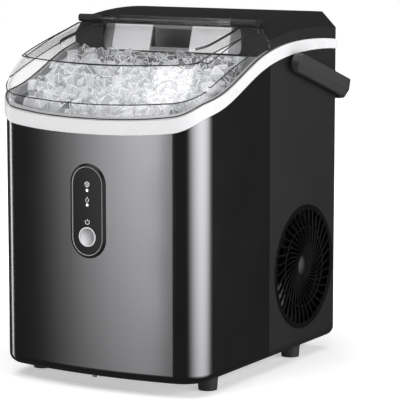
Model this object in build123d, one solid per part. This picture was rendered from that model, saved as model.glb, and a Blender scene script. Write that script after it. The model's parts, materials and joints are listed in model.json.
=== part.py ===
from build123d import *
import os
from math import cos, degrees, pi, radians, sin, sqrt

# Countertop nugget ice maker. Millimetres, +Z up, front towards -Y.
# The origin is on the floor, under the middle of the bounding box with the carry handle stowed.

# ---- driving dimensions -------------------------------------------------------------------
BODY_W = 230.0
FRONT_Y = -158.1
BACK_Y = 138.0
BODY_Z = 13.0
SEAM_Y = -5.4
SEAM_GAP = 0.3
WALL = 2.5
FRONT_R = 487.0
CORNER_R = 31.4
BACK_CORNER_R = 3.0
FOOT_ROUND = 9.0
LIP = 26.0
# cutting blocks and prisms reach this far, past every side of the body
TALL = 400.0
OUTER_X = 150.0

BAND_PROUD = 2.0
# stations of the trim band's lower edge, as place along Y and height: front, front corner, shoulder,
# rise to the seam, crest and back
BAND_LINE = [(-165, 248), (-155, 252), (-135, 266), (-112, 272), (-30, 303), (80, 319), (145, 316)]
# the band keeps its full height to the body's middle, and tapers from there to the back
BAND_TALL = 13.4
BAND_TALL_BACK = 9.5

HINGE_Y = -13.0
HINGE_Z = 350.0
KNUCKLE_R = 4.0
KNUCKLE_X = (77.0, 104.0)
HINGE_PIN_R = 1.9
PIN_X = (61.5, 104.0)
LID_END_Y = -6.5
LID_WALL = 2.5
FACET_SLOPE = 1.5
FRONT_LEAN = 0.69
# lid ridge from the hinge to the front edge, and the crease where the side facet starts
LID_RIDGE = [(5, 352), (-60, 334), (-122, 318), (-175, 290)]
LID_CREASE = [(5, 334), (-75, 313), (-170, 275)]
LID_PAD_X = 85.0
LID_PAD_Y = -96.0
LID_PAD_RISE = 1.2

# rear cover: roof line from the hinge over the crest to the back; its side facets start this far below
ROOF = [(-12, 349), (66, 357), (140, 354)]
ROOF_FACET = 16.0

PIVOT_Y = 40.0
PIVOT_Z = 308.5
HANDLE_DROOP = 17.7
HANDLE_OUT_X = 128.0
HANDLE_THICK = 9.0
HANDLE_WIDE = 18.5
HANDLE_REACH = 123.1
HANDLE_CORNER_R = 20.0
BEVEL_IN = 3.6
BEVEL_UP = 8.0
PIVOT_PIN_R = 4.5

PANEL_Z = 175.2
PANEL_W = 38.0
PANEL_H = 90.0
LED_Z = (195.4, 181.2)
LED_R = 1.3
BUTTON_Z = 150.3
BUTTON_R = 7.9
BUTTON_RING_R = 9.5
BUTTON_TRAVEL = 1.5
BUTTON_FACE_Y = -160.0
BUTTON_DISH = 0.6
BUTTON_DISH_R = 59.0
BEZEL_W = 2.5
BEZEL_PROUD = 1.9
BEZEL_FLARE = 1.5
INSERT_PROUD = 1.4
BOARD_FACE_Y = -147.0
BOARD_T = 1.6
# the panel's cuts run between these places along Y, from outside the front wall to behind it
PANEL_OUT_Y = -170.0
PANEL_IN_Y = -140.0
PANEL_POST_X = 26.0
PANEL_POST_Z = 36.0

FAN_Y = 68.5
FAN_Z = 97.0
VENT_R = 64.0
FAN_R = 50.0
VANES = 36
CONDENSER_X = (38.0, 62.0)
TUBE_ROWS = 7
TUBE_PITCH = 16.0
TUBE_R = 3.2
PIPE_R = 2.5
FIN_HALF = 50.0

TRAY_Z = 15.5
TRAY_T = 3.0
DECK_Z = TRAY_Z + TRAY_T
FEET = {
    "foot_front_left": (-97.0, -97.0),
    "foot_front_right": (97.0, -97.0),
    "foot_rear_left": (-96.0, 75.0),
    "foot_rear_right": (96.0, 75.0),
}

AUGER_X = -3.5
AUGER_Y = 35.0
COMPRESSOR_X = -38.0
COMPRESSOR_Y = 62.0
COMPRESSOR_R = 46.0
SHELF_Z = 134.0
CHUTE_HALF = 23.5
CHUTE_WINDOW_LOW = 316.0
CHUTE_WINDOW_HIGH = 347.0
GUARD_OUT_X = (-72.0, 65.0)
GEARBOX_TOP = 176.0
BIN_BACK_Y = -8.0
BIN_STEP_Z = 240.0
BIN_SETBACK = 11.0
TANK_TOP = 136.0
FLOAT_X = 66.0
FLOAT_Y = -60.0
DRAIN_Y = -40.0
IR_Y = -40.0
IR_Z = 285.0
DRAIN_Z = 36.0
GLAND_X = -70.0
GLAND_Z = 45.0
PUMP_X = -60.0
PUMP_Y = -45.0


# ---- shared shapes ------------------------------------------------------------------------
def plan_face(grow=0.0):
    """The body's outline seen from above, moved out by grow."""
    front_c = Vector(0, FRONT_Y + FRONT_R)
    corner_x = BODY_W / 2 - CORNER_R
    corner_c = Vector(corner_x, front_c.Y - sqrt((FRONT_R - CORNER_R) ** 2 - corner_x**2))
    lean = (corner_c - front_c).normalized()
    join = front_c + lean * (FRONT_R + grow)
    bend = Vector(lean.X + 1, lean.Y).normalized()
    middle = corner_c + bend * (CORNER_R + grow)
    side = BODY_W / 2 + grow
    back = BACK_Y + grow
    r = max(BACK_CORNER_R + grow, 0.5)
    rear = Vector(side - r + r * cos(pi / 4), back - r + r * sin(pi / 4))

    def flip(point):
        return Vector(-point.X, point.Y)

    start = Vector(side, corner_c.Y)
    edges = [
        ThreePointArc(flip(join), Vector(0, FRONT_Y - grow), join),
        ThreePointArc(join, middle, start),
        Line(start, Vector(side, back - r)),
        ThreePointArc(Vector(side, back - r), rear, Vector(side - r, back)),
        Line(Vector(side - r, back), Vector(r - side, back)),
        ThreePointArc(Vector(r - side, back), flip(rear), Vector(-side, back - r)),
        Line(Vector(-side, back - r), flip(start)),
        ThreePointArc(flip(start), flip(middle), flip(join)),
    ]
    return make_face(edges)


def plan_prism(grow, z0, z1):
    return Pos(0, 0, z0) * extrude(plan_face(grow), amount=z1 - z0)


def side_face(curve_points, lift, depth, smooth):
    """A region in the YZ plane that reaches down by depth from a curve raised by lift."""
    points = [(y, z + lift) for y, z in curve_points]
    top = Spline(*points) if smooth else Polyline(*points)
    (y0, z0), (y1, z1) = points[0], points[-1]
    low = min(z0, z1) - depth
    outline = [top, Polyline((y1, z1), (y1, low), (y0, low), (y0, z0))]
    return Plane.YZ * make_face(outline)


def below(curve_points, lift=0.0, depth=TALL, smooth=True):
    return extrude(side_face(curve_points, lift, depth, smooth), amount=OUTER_X, both=True)


def band_height(y):
    """The trim band's own height at a place along Y."""
    return BAND_TALL - (BAND_TALL - BAND_TALL_BACK) * max(y, 0) / BACK_Y


def band_low(lift=0.0):
    return below(BAND_LINE, lift)


def band_high(lift=0.0):
    return below([(y, z + band_height(y)) for y, z in BAND_LINE], lift)


def block(x0, x1, y0, y1, z0, z1):
    return Pos((x0 + x1) / 2, (y0 + y1) / 2, (z0 + z1) / 2) * Box(x1 - x0, y1 - y0, z1 - z0)


def rod_x(x0, x1, y, z, r):
    return Pos((x0 + x1) / 2, y, z) * Rot(0, 90, 0) * Cylinder(r, x1 - x0)


def rod_y(y0, y1, x, z, r):
    return Pos(x, (y0 + y1) / 2, z) * Rot(90, 0, 0) * Cylinder(r, y1 - y0)


def rod_z(z0, z1, x, y, r):
    return Pos(x, y, (z0 + z1) / 2) * Cylinder(r, z1 - z0)


def yz_prism(points, x0, x1):
    return Pos(x0, 0, 0) * extrude(Plane.YZ * make_face(Polyline(*points, close=True)), amount=x1 - x0)


def pill(width, height):
    """An upright pill-shaped bar through the front wall, centred on the control panel."""
    face = SlotOverall(height, width, rotation=90)
    return Pos(0, PANEL_IN_Y, PANEL_Z) * extrude(Plane.XZ * face, amount=PANEL_IN_Y - PANEL_OUT_Y)


def panel_hole(z, r):
    """A round bar through the front wall at the panel's middle."""
    return rod_y(PANEL_OUT_Y, PANEL_IN_Y, 0, z, r)


def tube_along(points, radii, r):
    path = FilletPolyline(*points, radius=radii)
    start = Plane(origin=path @ 0, z_dir=path % 0)
    return sweep(start * Circle(r), path=path)


def mirrored(shape):
    return mirror(shape, about=Plane.YZ)


def clean(shape):
    solids = sorted(shape.solids(), key=lambda s: s.volume)
    return solids[-1]


# ---- outer shells -------------------------------------------------------------------------
def rounded_prism(grow, z0, radius):
    prism = plan_prism(grow, z0, TALL)
    return fillet(prism.faces().sort_by(Axis.Z)[0].edges(), radius)


def whole_shell():
    outer = rounded_prism(0, BODY_Z, FOOT_ROUND)
    inner = rounded_prism(-WALL, BODY_Z + WALL, FOOT_ROUND - WALL)
    shell = outer - inner - plan_prism(-LIP, 0, TRAY_Z)
    for x, y in FEET.values():
        shell -= rod_z(0, TRAY_Z, x, y, 3.0)
    for x, y in screw_places():
        shell -= rod_z(0, TRAY_Z, x, y, 2.0)
    return shell & band_low()


def front_shell(shell):
    part = shell - block(-OUTER_X, OUTER_X, SEAM_Y - SEAM_GAP / 2, 200, 0, TALL)
    part -= pill(PANEL_W, PANEL_H)
    part -= rod_x(-130, -100, DRAIN_Y, DRAIN_Z, 7.5)
    for x in (-PANEL_POST_X, PANEL_POST_X):
        for z in (PANEL_Z - PANEL_POST_Z, PANEL_Z + PANEL_POST_Z):
            part += rod_y(-157, BOARD_FACE_Y, x, z, 3.0)
    return clean(part)


def rear_shell(shell):
    part = shell - block(-OUTER_X, OUTER_X, -200, SEAM_Y + SEAM_GAP / 2, 0, TALL)
    part -= rod_x(100, 130, FAN_Y, FAN_Z, VENT_R)
    part -= rod_x(-130, 130, PIVOT_Y, PIVOT_Z, PIVOT_PIN_R)
    part -= rod_y(120, 150, GLAND_X, GLAND_Z, 8.0)
    for x in (-60, 60):
        part -= rod_y(120, 150, x, 300, 1.6)
    for row in range(12):
        z = 60 + 8 * row
        part -= block(-130, -100, 28, 108, z, z + 3.5)
    return clean(part)


def trim_band():
    ring = plan_prism(BAND_PROUD, 200, TALL) - plan_prism(-WALL, 200, TALL)
    ring = (ring & band_high()) - band_low()
    tongue = plan_prism(-WALL, 200, TALL) - plan_prism(-WALL - 2, 200, TALL)
    tongue = (tongue & band_high()) - band_low(-8)
    tongue -= rod_x(-112.5, 112.5, PIVOT_Y, PIVOT_Z, 9.0)
    return clean(ring + tongue)


# ---- lid ----------------------------------------------------------------------------------
def slanted_sides(crease, inset):
    """Everything inside the two side facets that rise inwards from a crease line."""
    overrun = 20.0
    run = BODY_W + 2 * overrun
    face = side_face(crease, 0, 2 * TALL, True).face()
    start = Pos(BODY_W / 2 - inset + overrun, 0, -overrun * FACET_SLOPE) * face
    right = Solid.extrude(start, Vector(-run, 0, run * FACET_SLOPE))
    return right & mirrored(right)


def leaning_front(grow, back_shift):
    """Everything behind the front facet, whose foot follows the outline on a tilted plane."""
    tilt = Plane(origin=(0, -158, 278), x_dir=(1, 0, 0), z_dir=(0, -0.5, 1))
    foot = section(plan_prism(grow, 100, 460), section_by=tilt).face()
    lean = Vector(0, FRONT_LEAN, 1)
    start = Pos(0, back_shift - 60 * FRONT_LEAN, -60) * foot
    return Solid.extrude(start, lean * 180)


def lid_volume(grow, drop, inset, back_shift):
    solid = plan_prism(grow, 200, TALL) & below(LID_RIDGE, -drop)
    solid = solid & slanted_sides(LID_CREASE, inset)
    return solid & leaning_front(grow, back_shift)


def lid():
    outer = lid_volume(0, 0, 0, 0)
    inner = lid_volume(-LID_WALL, LID_WALL, 1.2 * LID_WALL, 0.5)
    pad = RectangleRounded(2 * LID_PAD_X, 120, 26)
    pad = Pos(0, LID_PAD_Y + 60, 300) * extrude(pad, amount=80)
    pad = (pad & below(LID_RIDGE, LID_PAD_RISE)) - below(LID_RIDGE, -1)
    part = (outer + pad) - inner - band_high(0.5)
    part -= block(-OUTER_X, OUTER_X, LID_END_Y, 200, 200, TALL)
    part -= block(-106, 106, HINGE_Y, 0, 340, TALL)
    part -= block(-OUTER_X, OUTER_X, HINGE_Y, 0, 345, TALL)
    for side in (-1, 1):
        part -= rod_x(side * 94 - 17.5, side * 94 + 17.5, HINGE_Y, HINGE_Z, KNUCKLE_R + 1.6)
    part += rod_x(-76.5, 76.5, HINGE_Y, HINGE_Z, KNUCKLE_R)
    for side in (-1, 1):
        part -= rod_x(side * 68.5 - 8.5, side * 68.5 + 8.5, HINGE_Y, HINGE_Z, HINGE_PIN_R + 0.1)
    return clean(part)


def hinge_pin(side):
    x0, x1 = sorted((side * PIN_X[0], side * PIN_X[1]))
    return rod_x(x0, x1, HINGE_Y, HINGE_Z, HINGE_PIN_R)


# ---- rear cover ---------------------------------------------------------------------------
def cover_volume(grow, drop, inset):
    solid = plan_prism(grow, 200, TALL) & below(ROOF, -drop)
    solid = solid & slanted_sides([(y, z - ROOF_FACET) for y, z in ROOF], inset)
    reach = BACK_Y - inset
    bevel = [(-200, 100), (-200, 450), (reach - 70, 336.5 + 70 * FACET_SLOPE), (reach, 336.5), (reach, 100)]
    return solid & yz_prism(bevel, -OUTER_X, OUTER_X)


def rear_cover():
    front = SEAM_Y - 0.6
    keep = block(-OUTER_X, OUTER_X, front, 200, 200, TALL)
    hollow = block(-OUTER_X, OUTER_X, front + WALL, 200, 200, TALL)
    outer = cover_volume(0, 0, 0) & keep
    inner = cover_volume(-WALL, WALL, 1.2 * WALL) & hollow
    part = outer - inner - band_high(0.1)
    part += block(-109, 109, front, front + WALL, 306, 336)
    window = RectangleRounded(164, CHUTE_WINDOW_HIGH - CHUTE_WINDOW_LOW, 9)
    middle = (CHUTE_WINDOW_HIGH + CHUTE_WINDOW_LOW) / 2
    part -= Pos(0, 20, middle) * extrude(Plane.XZ * window, amount=60)
    for side in (-1, 1):
        x0, x1 = sorted((side * KNUCKLE_X[0], side * KNUCKLE_X[1]))
        top = [(HINGE_Y, HINGE_Z + KNUCKLE_R), (8, 351.4), (8, 344), (HINGE_Y, HINGE_Z - KNUCKLE_R)]
        part += yz_prism(top, x0, x1)
        part += rod_x(x0, x1, HINGE_Y, HINGE_Z, KNUCKLE_R)
        part -= hinge_pin(side)
        tab = block(side * 60 - 8, side * 60 + 8, 130.0, 133.2, 292, 340)
        part += tab - rod_y(120, 150, side * 60, 300, 1.6)
    return clean(part)


def cover_screws():
    group = []
    for x in (-60, 60):
        head = rod_y(BACK_Y, BACK_Y + 1.6, x, 300, 3.6)
        slot = block(x - 2.4, x + 2.4, BACK_Y + 0.8, BACK_Y + 2, 299.6, 300.4)
        group.append(head + rod_y(BACK_Y - 10, BACK_Y, x, 300, 1.6) - slot)
    return group


# ---- carry handle -------------------------------------------------------------------------
def carry_handle():
    half = HANDLE_WIDE / 2
    inside_x = HANDLE_OUT_X - HANDLE_THICK
    outer = RectangleRounded(2 * HANDLE_OUT_X, 2 * HANDLE_REACH, HANDLE_CORNER_R)
    inner = RectangleRounded(2 * inside_x, 2 * (HANDLE_REACH - HANDLE_THICK), HANDLE_CORNER_R - HANDLE_THICK)
    bail = Pos(0, 0, -half) * extrude(outer - inner, amount=HANDLE_WIDE)
    bail = bail & block(-140, 140, -half, 140, -half, half)
    sole = bail.faces().sort_by(Axis.Z)[0]
    rim = [e for e in sole.edges() if abs(e.center().X) > 126 or e.center().Y > 118]
    bail = chamfer(rim, BEVEL_IN, BEVEL_UP, reference=sole)
    rounded = block(-140, 140, 0, 140, -half, half) + rod_x(-140, 140, 0, 0, half)
    bail = bail & rounded
    bail -= rod_x(inside_x - 1, 126.5, 0, 0, PIVOT_PIN_R + 0.1)
    bail -= rod_x(-126.5, 1 - inside_x, 0, 0, PIVOT_PIN_R + 0.1)
    return Pos(0, PIVOT_Y, PIVOT_Z) * Rot(-HANDLE_DROOP, 0, 0) * clean(bail)


def handle_pivot(side):
    x = side * BODY_W / 2
    boss = Pos(side * 1.8, 0, 0) * rod_x(x - 1.8, x + 1.8, PIVOT_Y, PIVOT_Z, 7.0)
    pin = rod_x(side * 118 - 8, side * 118 + 8, PIVOT_Y, PIVOT_Z, PIVOT_PIN_R)
    flange = rod_x(side * 111.25 - 1.25, side * 111.25 + 1.25, PIVOT_Y, PIVOT_Z, 8.5)
    return clean(boss + pin + flange)


# ---- control panel ------------------------------------------------------------------------
def front_skin(outside, inside):
    """A layer of the front wall between two offsets of the outline."""
    layer = plan_prism(outside, 120, 230) - plan_prism(inside, 120, 230)
    return layer & block(-60, 60, -180, PANEL_IN_Y, 120, 230)


def panel_bezel():
    hole = pill(PANEL_W - 2 * BEZEL_W, PANEL_H - 2 * BEZEL_W)
    ring = pill(PANEL_W - 0.2, PANEL_H - 0.2) - hole
    flange = pill(PANEL_W + 2 * BEZEL_W, PANEL_H + 2 * BEZEL_W) - hole
    rim = SlotOverall(PANEL_H + 2 * BEZEL_FLARE, PANEL_W + 2 * BEZEL_FLARE, rotation=90)
    rim = Pos(0, FRONT_Y + 0.6, PANEL_Z) * extrude(Plane.XZ * rim, amount=4, taper=45) - hole
    part = (ring & front_skin(0.1, -WALL)) + (rim & front_skin(BEZEL_PROUD, 0))
    return clean(part + (flange & front_skin(-WALL, -WALL - 1.5)))


def panel_insert():
    plate = pill(PANEL_W - 2 * BEZEL_W - 0.4, PANEL_H - 2 * BEZEL_W - 0.4) & front_skin(INSERT_PROUD, -WALL - 1.5)
    plate -= panel_hole(BUTTON_Z, BUTTON_RING_R)
    for z in LED_Z:
        plate -= panel_hole(z, LED_R)
    return clean(plate)


def led(z):
    lens = rod_y(FRONT_Y - INSERT_PROUD - 0.1, -149.5, 0, z, LED_R)
    return clean(lens + rod_y(-153.9, -152.4, 0, z, 2.5))


def button_ring():
    tube = rod_y(BUTTON_FACE_Y, -152.5, 0, BUTTON_Z, BUTTON_RING_R) + rod_y(-153.8, -152.5, 0, BUTTON_Z, 11.5)
    return clean(tube - panel_hole(BUTTON_Z, BUTTON_R + 0.25))


def power_button():
    cap = rod_y(BUTTON_FACE_Y, -152, 0, BUTTON_Z, BUTTON_R)
    dish = Pos(0, BUTTON_FACE_Y + BUTTON_DISH - BUTTON_DISH_R, BUTTON_Z) * Sphere(BUTTON_DISH_R)
    stem = rod_y(-152, BOARD_FACE_Y - 2.6 - BUTTON_TRAVEL, 0, BUTTON_Z, 2.0)
    return clean(cap - dish + stem)


def panel_board():
    board = block(-29, 29, BOARD_FACE_Y, BOARD_FACE_Y + BOARD_T, PANEL_Z - 42, PANEL_Z + 42)
    switch = block(-3, 3, BOARD_FACE_Y - 2.4, BOARD_FACE_Y, BUTTON_Z - 3, BUTTON_Z + 3)
    for z in LED_Z:
        board += rod_y(BOARD_FACE_Y - 2.5, BOARD_FACE_Y, 0, z, 2.5)
    return clean(board + switch)


# ---- side vent and fan --------------------------------------------------------------------
def vent_slot(r0, r1, turn0, turn1, width):
    """One curved slot between two blades of the side grille, around the fan axis."""
    def at(r, turn):
        return (r * cos(radians(turn)), r * sin(radians(turn)))

    def wide(r):
        return degrees((2 * pi * r / VANES - width) / r)

    middle = (r0 + r1) / 2
    bow = (turn0 + turn1) / 2 + 1.5
    edges = [
        ThreePointArc(at(r0, turn0), at(middle, bow), at(r1, turn1)),
        ThreePointArc(at(r1, turn1), at(r1, turn1 + wide(r1) / 2), at(r1, turn1 + wide(r1))),
        ThreePointArc(at(r1, turn1 + wide(r1)), at(middle, bow + wide(middle)), at(r0, turn0 + wide(r0))),
        ThreePointArc(at(r0, turn0 + wide(r0)), at(r0, turn0 + wide(r0) / 2), at(r0, turn0)),
    ]
    return make_face(edges)


def side_vent_grille():
    """Modelled flat, facing +Z, then turned to face +X."""
    slots = []
    for i in range(VANES):
        turn = 360 / VANES * i
        slots.append(extrude(vent_slot(15.5, 40.2, turn, turn + 24, 1.5), amount=4))
        slots.append(extrude(vent_slot(41.6, 58.5, turn + 24.6, turn + 32, 1.9), amount=4))
    part = Pos(0, 0, 1.35) * Cylinder(VENT_R - 0.1, 2.7) - slots
    part += Pos(0, 0, -0.8) * (Cylinder(66, 1.6) - Cylinder(60.5, 1.6))
    dome = Pos(0, 0, 2.7 - 33.2) * Sphere(36) & Pos(0, 0, 2.7 + 2.5) * Cylinder(13, 6)
    part += dome
    place = Plane(origin=(BODY_W / 2 - WALL, FAN_Y, FAN_Z), x_dir=(0, 1, 0), z_dir=(1, 0, 0))
    return place.location * clean(part)


def fan_shroud():
    plate = block(100, 102, FAN_Y - 60, FAN_Y + 60, FAN_Z - 60, FAN_Z + 60)
    duct = rod_x(82, 100, FAN_Y, FAN_Z, FAN_R + 5)
    part = plate + duct - rod_x(70, 110, FAN_Y, FAN_Z, FAN_R + 3)
    for turn in (45, 135, 225, 315):
        arm = Pos(82.75, 0, 35) * Box(1.5, 6, 40)
        part += Pos(0, FAN_Y, FAN_Z) * Rot(turn, 0, 0) * arm
    part += rod_x(82, 83.5, FAN_Y, FAN_Z, 18) - rod_x(80, 90, FAN_Y, FAN_Z, 3.5)
    part += block(84, 102, FAN_Y - 50, FAN_Y + 50, DECK_Z, DECK_Z + 2)
    part += block(100, 102, FAN_Y - 50, FAN_Y + 50, DECK_Z, FAN_Z - 59)
    return clean(part)


def fan_motor():
    can = rod_x(66, 82, FAN_Y, FAN_Z, 17)
    return clean(can + rod_x(82, 95.4, FAN_Y, FAN_Z, 2.5))


def fan_blades():
    hub = rod_x(85, 97, FAN_Y, FAN_Z, 15)
    hub -= rod_x(84, 94.5, FAN_Y, FAN_Z, 13) - rod_x(84, 95, FAN_Y, FAN_Z, 5)
    part = hub - rod_x(84, 95.8, FAN_Y, FAN_Z, 2.6)
    for i in range(7):
        blade = Pos(0, 0, 32) * Rot(0, 0, 32) * Box(1.6, 20, 36)
        part += Pos(91, FAN_Y, FAN_Z) * Rot(360 / 7 * i, 0, 0) * blade
    return clean(part & rod_x(85, 97, FAN_Y, FAN_Z, FAN_R))


# ---- refrigeration ------------------------------------------------------------------------
def tube_row_z():
    first = FAN_Z - TUBE_PITCH * (TUBE_ROWS - 1) / 2
    return [first + TUBE_PITCH * i for i in range(TUBE_ROWS)]


def condenser_fins():
    x0, x1 = CONDENSER_X
    part = block(x0, x1, FAN_Y - FIN_HALF, FAN_Y - FIN_HALF + 1, DECK_Z, FAN_Z + 57)
    part += block(x0, x1, FAN_Y + FIN_HALF - 1, FAN_Y + FIN_HALF, DECK_Z, FAN_Z + 57)
    part += block(x0, x1, FAN_Y - FIN_HALF, FAN_Y + FIN_HALF, FAN_Z + 56, FAN_Z + 57)
    for i in range(19):
        y = FAN_Y - 45 + 5 * i
        part += block(x0, x1, y - 0.3, y + 0.3, FAN_Z - 56, FAN_Z + 56.5)
    middle = (x0 + x1) / 2
    for z in tube_row_z():
        part -= rod_y(0, 140, middle, z, TUBE_R)
    return clean(part)


def condenser_tube():
    """A serpentine: straight rows joined by half-ring bends outside the fin pack."""
    middle = sum(CONDENSER_X) / 2
    rows = tube_row_z()
    reach = FIN_HALF + 2
    part = Part()
    for z in rows:
        part += rod_y(FAN_Y - reach, FAN_Y + reach, middle, z, TUBE_R)
    for i in range(TUBE_ROWS - 1):
        y = FAN_Y + (reach if i % 2 == 0 else -reach)
        ring = Pos(middle, y, (rows[i] + rows[i + 1]) / 2) * Rot(0, 90, 0) * Torus(TUBE_PITCH / 2, TUBE_R)
        half = block(0, 100, y, 200, 0, 300) if i % 2 == 0 else block(0, 100, -50, y, 0, 300)
        part += ring & half
    return clean(part)


def compressor():
    body = rod_z(28, 122, COMPRESSOR_X, COMPRESSOR_Y, COMPRESSOR_R)
    body = fillet(body.edges().filter_by(GeomType.CIRCLE), 16)
    body += rod_z(72, 76, COMPRESSOR_X, COMPRESSOR_Y, COMPRESSOR_R + 2)
    base = block(-90, 14, 14, 110, 27, 29.5)
    base = base - rod_z(20, 40, -80, 24, 5) - rod_z(20, 40, 4, 24, 5)
    base = base - rod_z(20, 40, -80, 100, 5) - rod_z(20, 40, 4, 100, 5)
    neck = rod_z(24, 60, COMPRESSOR_X, COMPRESSOR_Y, 30) & rod_z(27, 60, COMPRESSOR_X, COMPRESSOR_Y, 30)
    box = block(-94, -80, 50, 74, 60, 90)
    return clean(body + base + neck + box)


def bolt_places():
    return [(x, y) for x in (-80, 4) for y in (24, 100)]


def compressor_grommets():
    group = []
    for x, y in bolt_places():
        lower = rod_z(DECK_Z, 27, x, y, 8) + rod_z(27, 29.5, x, y, 5) + rod_z(29.5, 32.5, x, y, 8)
        group.append(lower - rod_z(0, 40, x, y, 2.5))
    return group


def compressor_bolts():
    return [rod_z(TRAY_Z + 0.5, 36, x, y, 2.5) + rod_z(32.5, 36, x, y, 5) for x, y in bolt_places()]


def discharge_pipe():
    """From the compressor's top, round the drive motor, to the top row of the condenser."""
    top = tube_row_z()[-1]
    middle = sum(CONDENSER_X) / 2
    x, y = COMPRESSOR_X, COMPRESSOR_Y + 22
    points = [(x, y, 122), (x, y, 129), (x, 128, 129), (26, 128, 129), (26, 128, top),
              (middle, 128, top), (middle, FAN_Y + FIN_HALF + 2, top)]
    return tube_along(points, 5, PIPE_R)


def suction_pipe():
    """From the evaporator coil down to the compressor."""
    x, y = COMPRESSOR_X - 26, COMPRESSOR_Y
    points = [(AUGER_X, AUGER_Y + 27, 201), (AUGER_X, AUGER_Y + 27, 188), (x, y, 188), (x, y, 122)]
    return tube_along(points, 9, PIPE_R)


# ---- ice making column --------------------------------------------------------------------
def divider_panel():
    wall = block(-111, 111, -4.4, -2.6, DECK_Z, 300)
    wall -= rod_y(-10, 10, PUMP_X, 142, 4.0)
    return clean(wall)


def motor_bracket():
    shelf = block(-50, 37, -2.6, 74, SHELF_Z, SHELF_Z + 2.4)
    flange = block(-50, 37, -2.6, -0.6, SHELF_Z, SHELF_Z + 62)
    part = shelf + flange
    for x in (-50, 35):
        part += yz_prism([(-1, SHELF_Z + 2), (60, SHELF_Z + 2), (-1, SHELF_Z + 60)], x, x + 2)
    return clean(part)


def gearbox():
    body = block(AUGER_X - 31, AUGER_X + 31, 2, 70, SHELF_Z + 2.4, GEARBOX_TOP)
    body = fillet(body.edges().filter_by(Axis.Z), 8)
    body -= rod_z(GEARBOX_TOP - 20, GEARBOX_TOP + 5, AUGER_X, AUGER_Y, 9.2)
    return clean(body)


def drive_motor():
    can = rod_y(70, 112, AUGER_X, 157, 19)
    return clean(can + rod_y(112, 116, AUGER_X, 157, 8))


def evaporator_cylinder():
    tube = rod_z(GEARBOX_TOP, 296, AUGER_X, AUGER_Y, 24)
    tube += rod_z(GEARBOX_TOP, GEARBOX_TOP + 4, AUGER_X, AUGER_Y, 30)
    tube -= rod_z(GEARBOX_TOP + 6, 300, AUGER_X, AUGER_Y, 20)
    tube -= rod_z(GEARBOX_TOP - 5, 300, AUGER_X, AUGER_Y, 8.6)
    return clean(tube)


def auger():
    lobe = Circle(8) + (Pos(13.4, 0) * Rectangle(12, 7))
    lobe = lobe & Circle(19.4)
    flight = Solid.extrude_linear_with_rotation(lobe.face(), (0, 0, 0), (0, 0, 104), 360 * 3)
    shaft = rod_z(GEARBOX_TOP - 19, 300, AUGER_X, AUGER_Y, 8)
    return clean(shaft + Pos(AUGER_X, AUGER_Y, 188) * flight)


def insulation_jacket():
    foam = rod_z(196, 294, AUGER_X, AUGER_Y, 36.5)
    return clean(foam - rod_z(190, 300, AUGER_X, AUGER_Y, 30.2))


def evaporator_coil():
    part = rod_z(201, 286, AUGER_X, AUGER_Y + 27, 2.4)
    for i in range(10):
        part += Pos(AUGER_X, AUGER_Y, 204 + 9 * i) * Torus(27, 2.9)
    return clean(part - rod_z(190, 300, AUGER_X, AUGER_Y, 24.0))


def extruder_head():
    part = rod_z(296, 342, AUGER_X, AUGER_Y, 25)
    part += block(AUGER_X - CHUTE_HALF, AUGER_X + CHUTE_HALF, 8.5, AUGER_Y, 318, 342)
    part -= rod_z(290, 338, AUGER_X, AUGER_Y, 20.5)
    part -= block(AUGER_X - 21.5, AUGER_X + 21.5, 0, AUGER_Y, 320, 340)
    return clean(part)


def ice_chute():
    face = [(5.3, 343.8), (7.7, 343.8), (-0.6, 318), (-3.0, 318)]
    part = yz_prism(face, -84, 84)
    part -= block(AUGER_X - CHUTE_HALF, AUGER_X + CHUTE_HALF, -10, 20, 322, 342)
    return clean(part)


def chute_guard(x0, x1):
    """A bright sheet over the sloping face of the chute, beside its mouth."""
    face = [(4.3, 343.8), (5.3, 343.8), (-2.88, 318.4), (-3.88, 318.4)]
    return clean(yz_prism(face, x0, x1))


# ---- ice bin, tank and water ---------------------------------------------------------------
def stepped_bin(gap, wall, floor_z, step_z, lift, back):
    """An open bin that follows the outline, set back below a step to clear the control board."""
    def volume(grow, z0, step):
        low = Pos(0, BIN_SETBACK, 0) * plan_prism(grow, z0, TALL)
        return low + plan_prism(grow, step, TALL)

    outer = volume(-gap, floor_z, step_z)
    inner = volume(-gap - wall, floor_z + wall, step_z + wall)
    trim = block(-OUTER_X, OUTER_X, -200, back, 0, TALL)
    hollow = block(-OUTER_X, OUTER_X, -200, back - wall, 0, TALL)
    return clean(((outer & trim) - (inner & hollow)) & band_high(lift))


def inner_liner():
    part = stepped_bin(5.2, 2.0, 150, BIN_STEP_Z, -6.0, BIN_BACK_Y)
    part -= rod_z(140, 160, 0, -60, 6)
    for side in (-1, 1):
        part -= rod_x(side * 107.5 - 10, side * 107.5 + 10, IR_Y, IR_Z, 3.5)
    return clean(part)


def ice_basket():
    part = stepped_bin(8.4, 2.0, 156, BIN_STEP_Z + 4.4, -5.0, BIN_BACK_Y - 3.2)
    for row in range(5):
        for column in range(7):
            x = (column - 3) * 26
            y = -118 + row * 22
            part -= Pos(x, y, 157) * Rot(0, 0, 90) * extrude(SlotOverall(14, 4), amount=10, both=True)
    for x in (-85, 85):
        part += rod_z(152, 156.5, x, -110, 5)
        part += rod_z(152, 156.5, x, -25, 5)
    for side in (-1, 1):
        part -= rod_x(side * 104 - 10, side * 104 + 10, IR_Y, IR_Z, 4.5)
    return clean(part)


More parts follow.
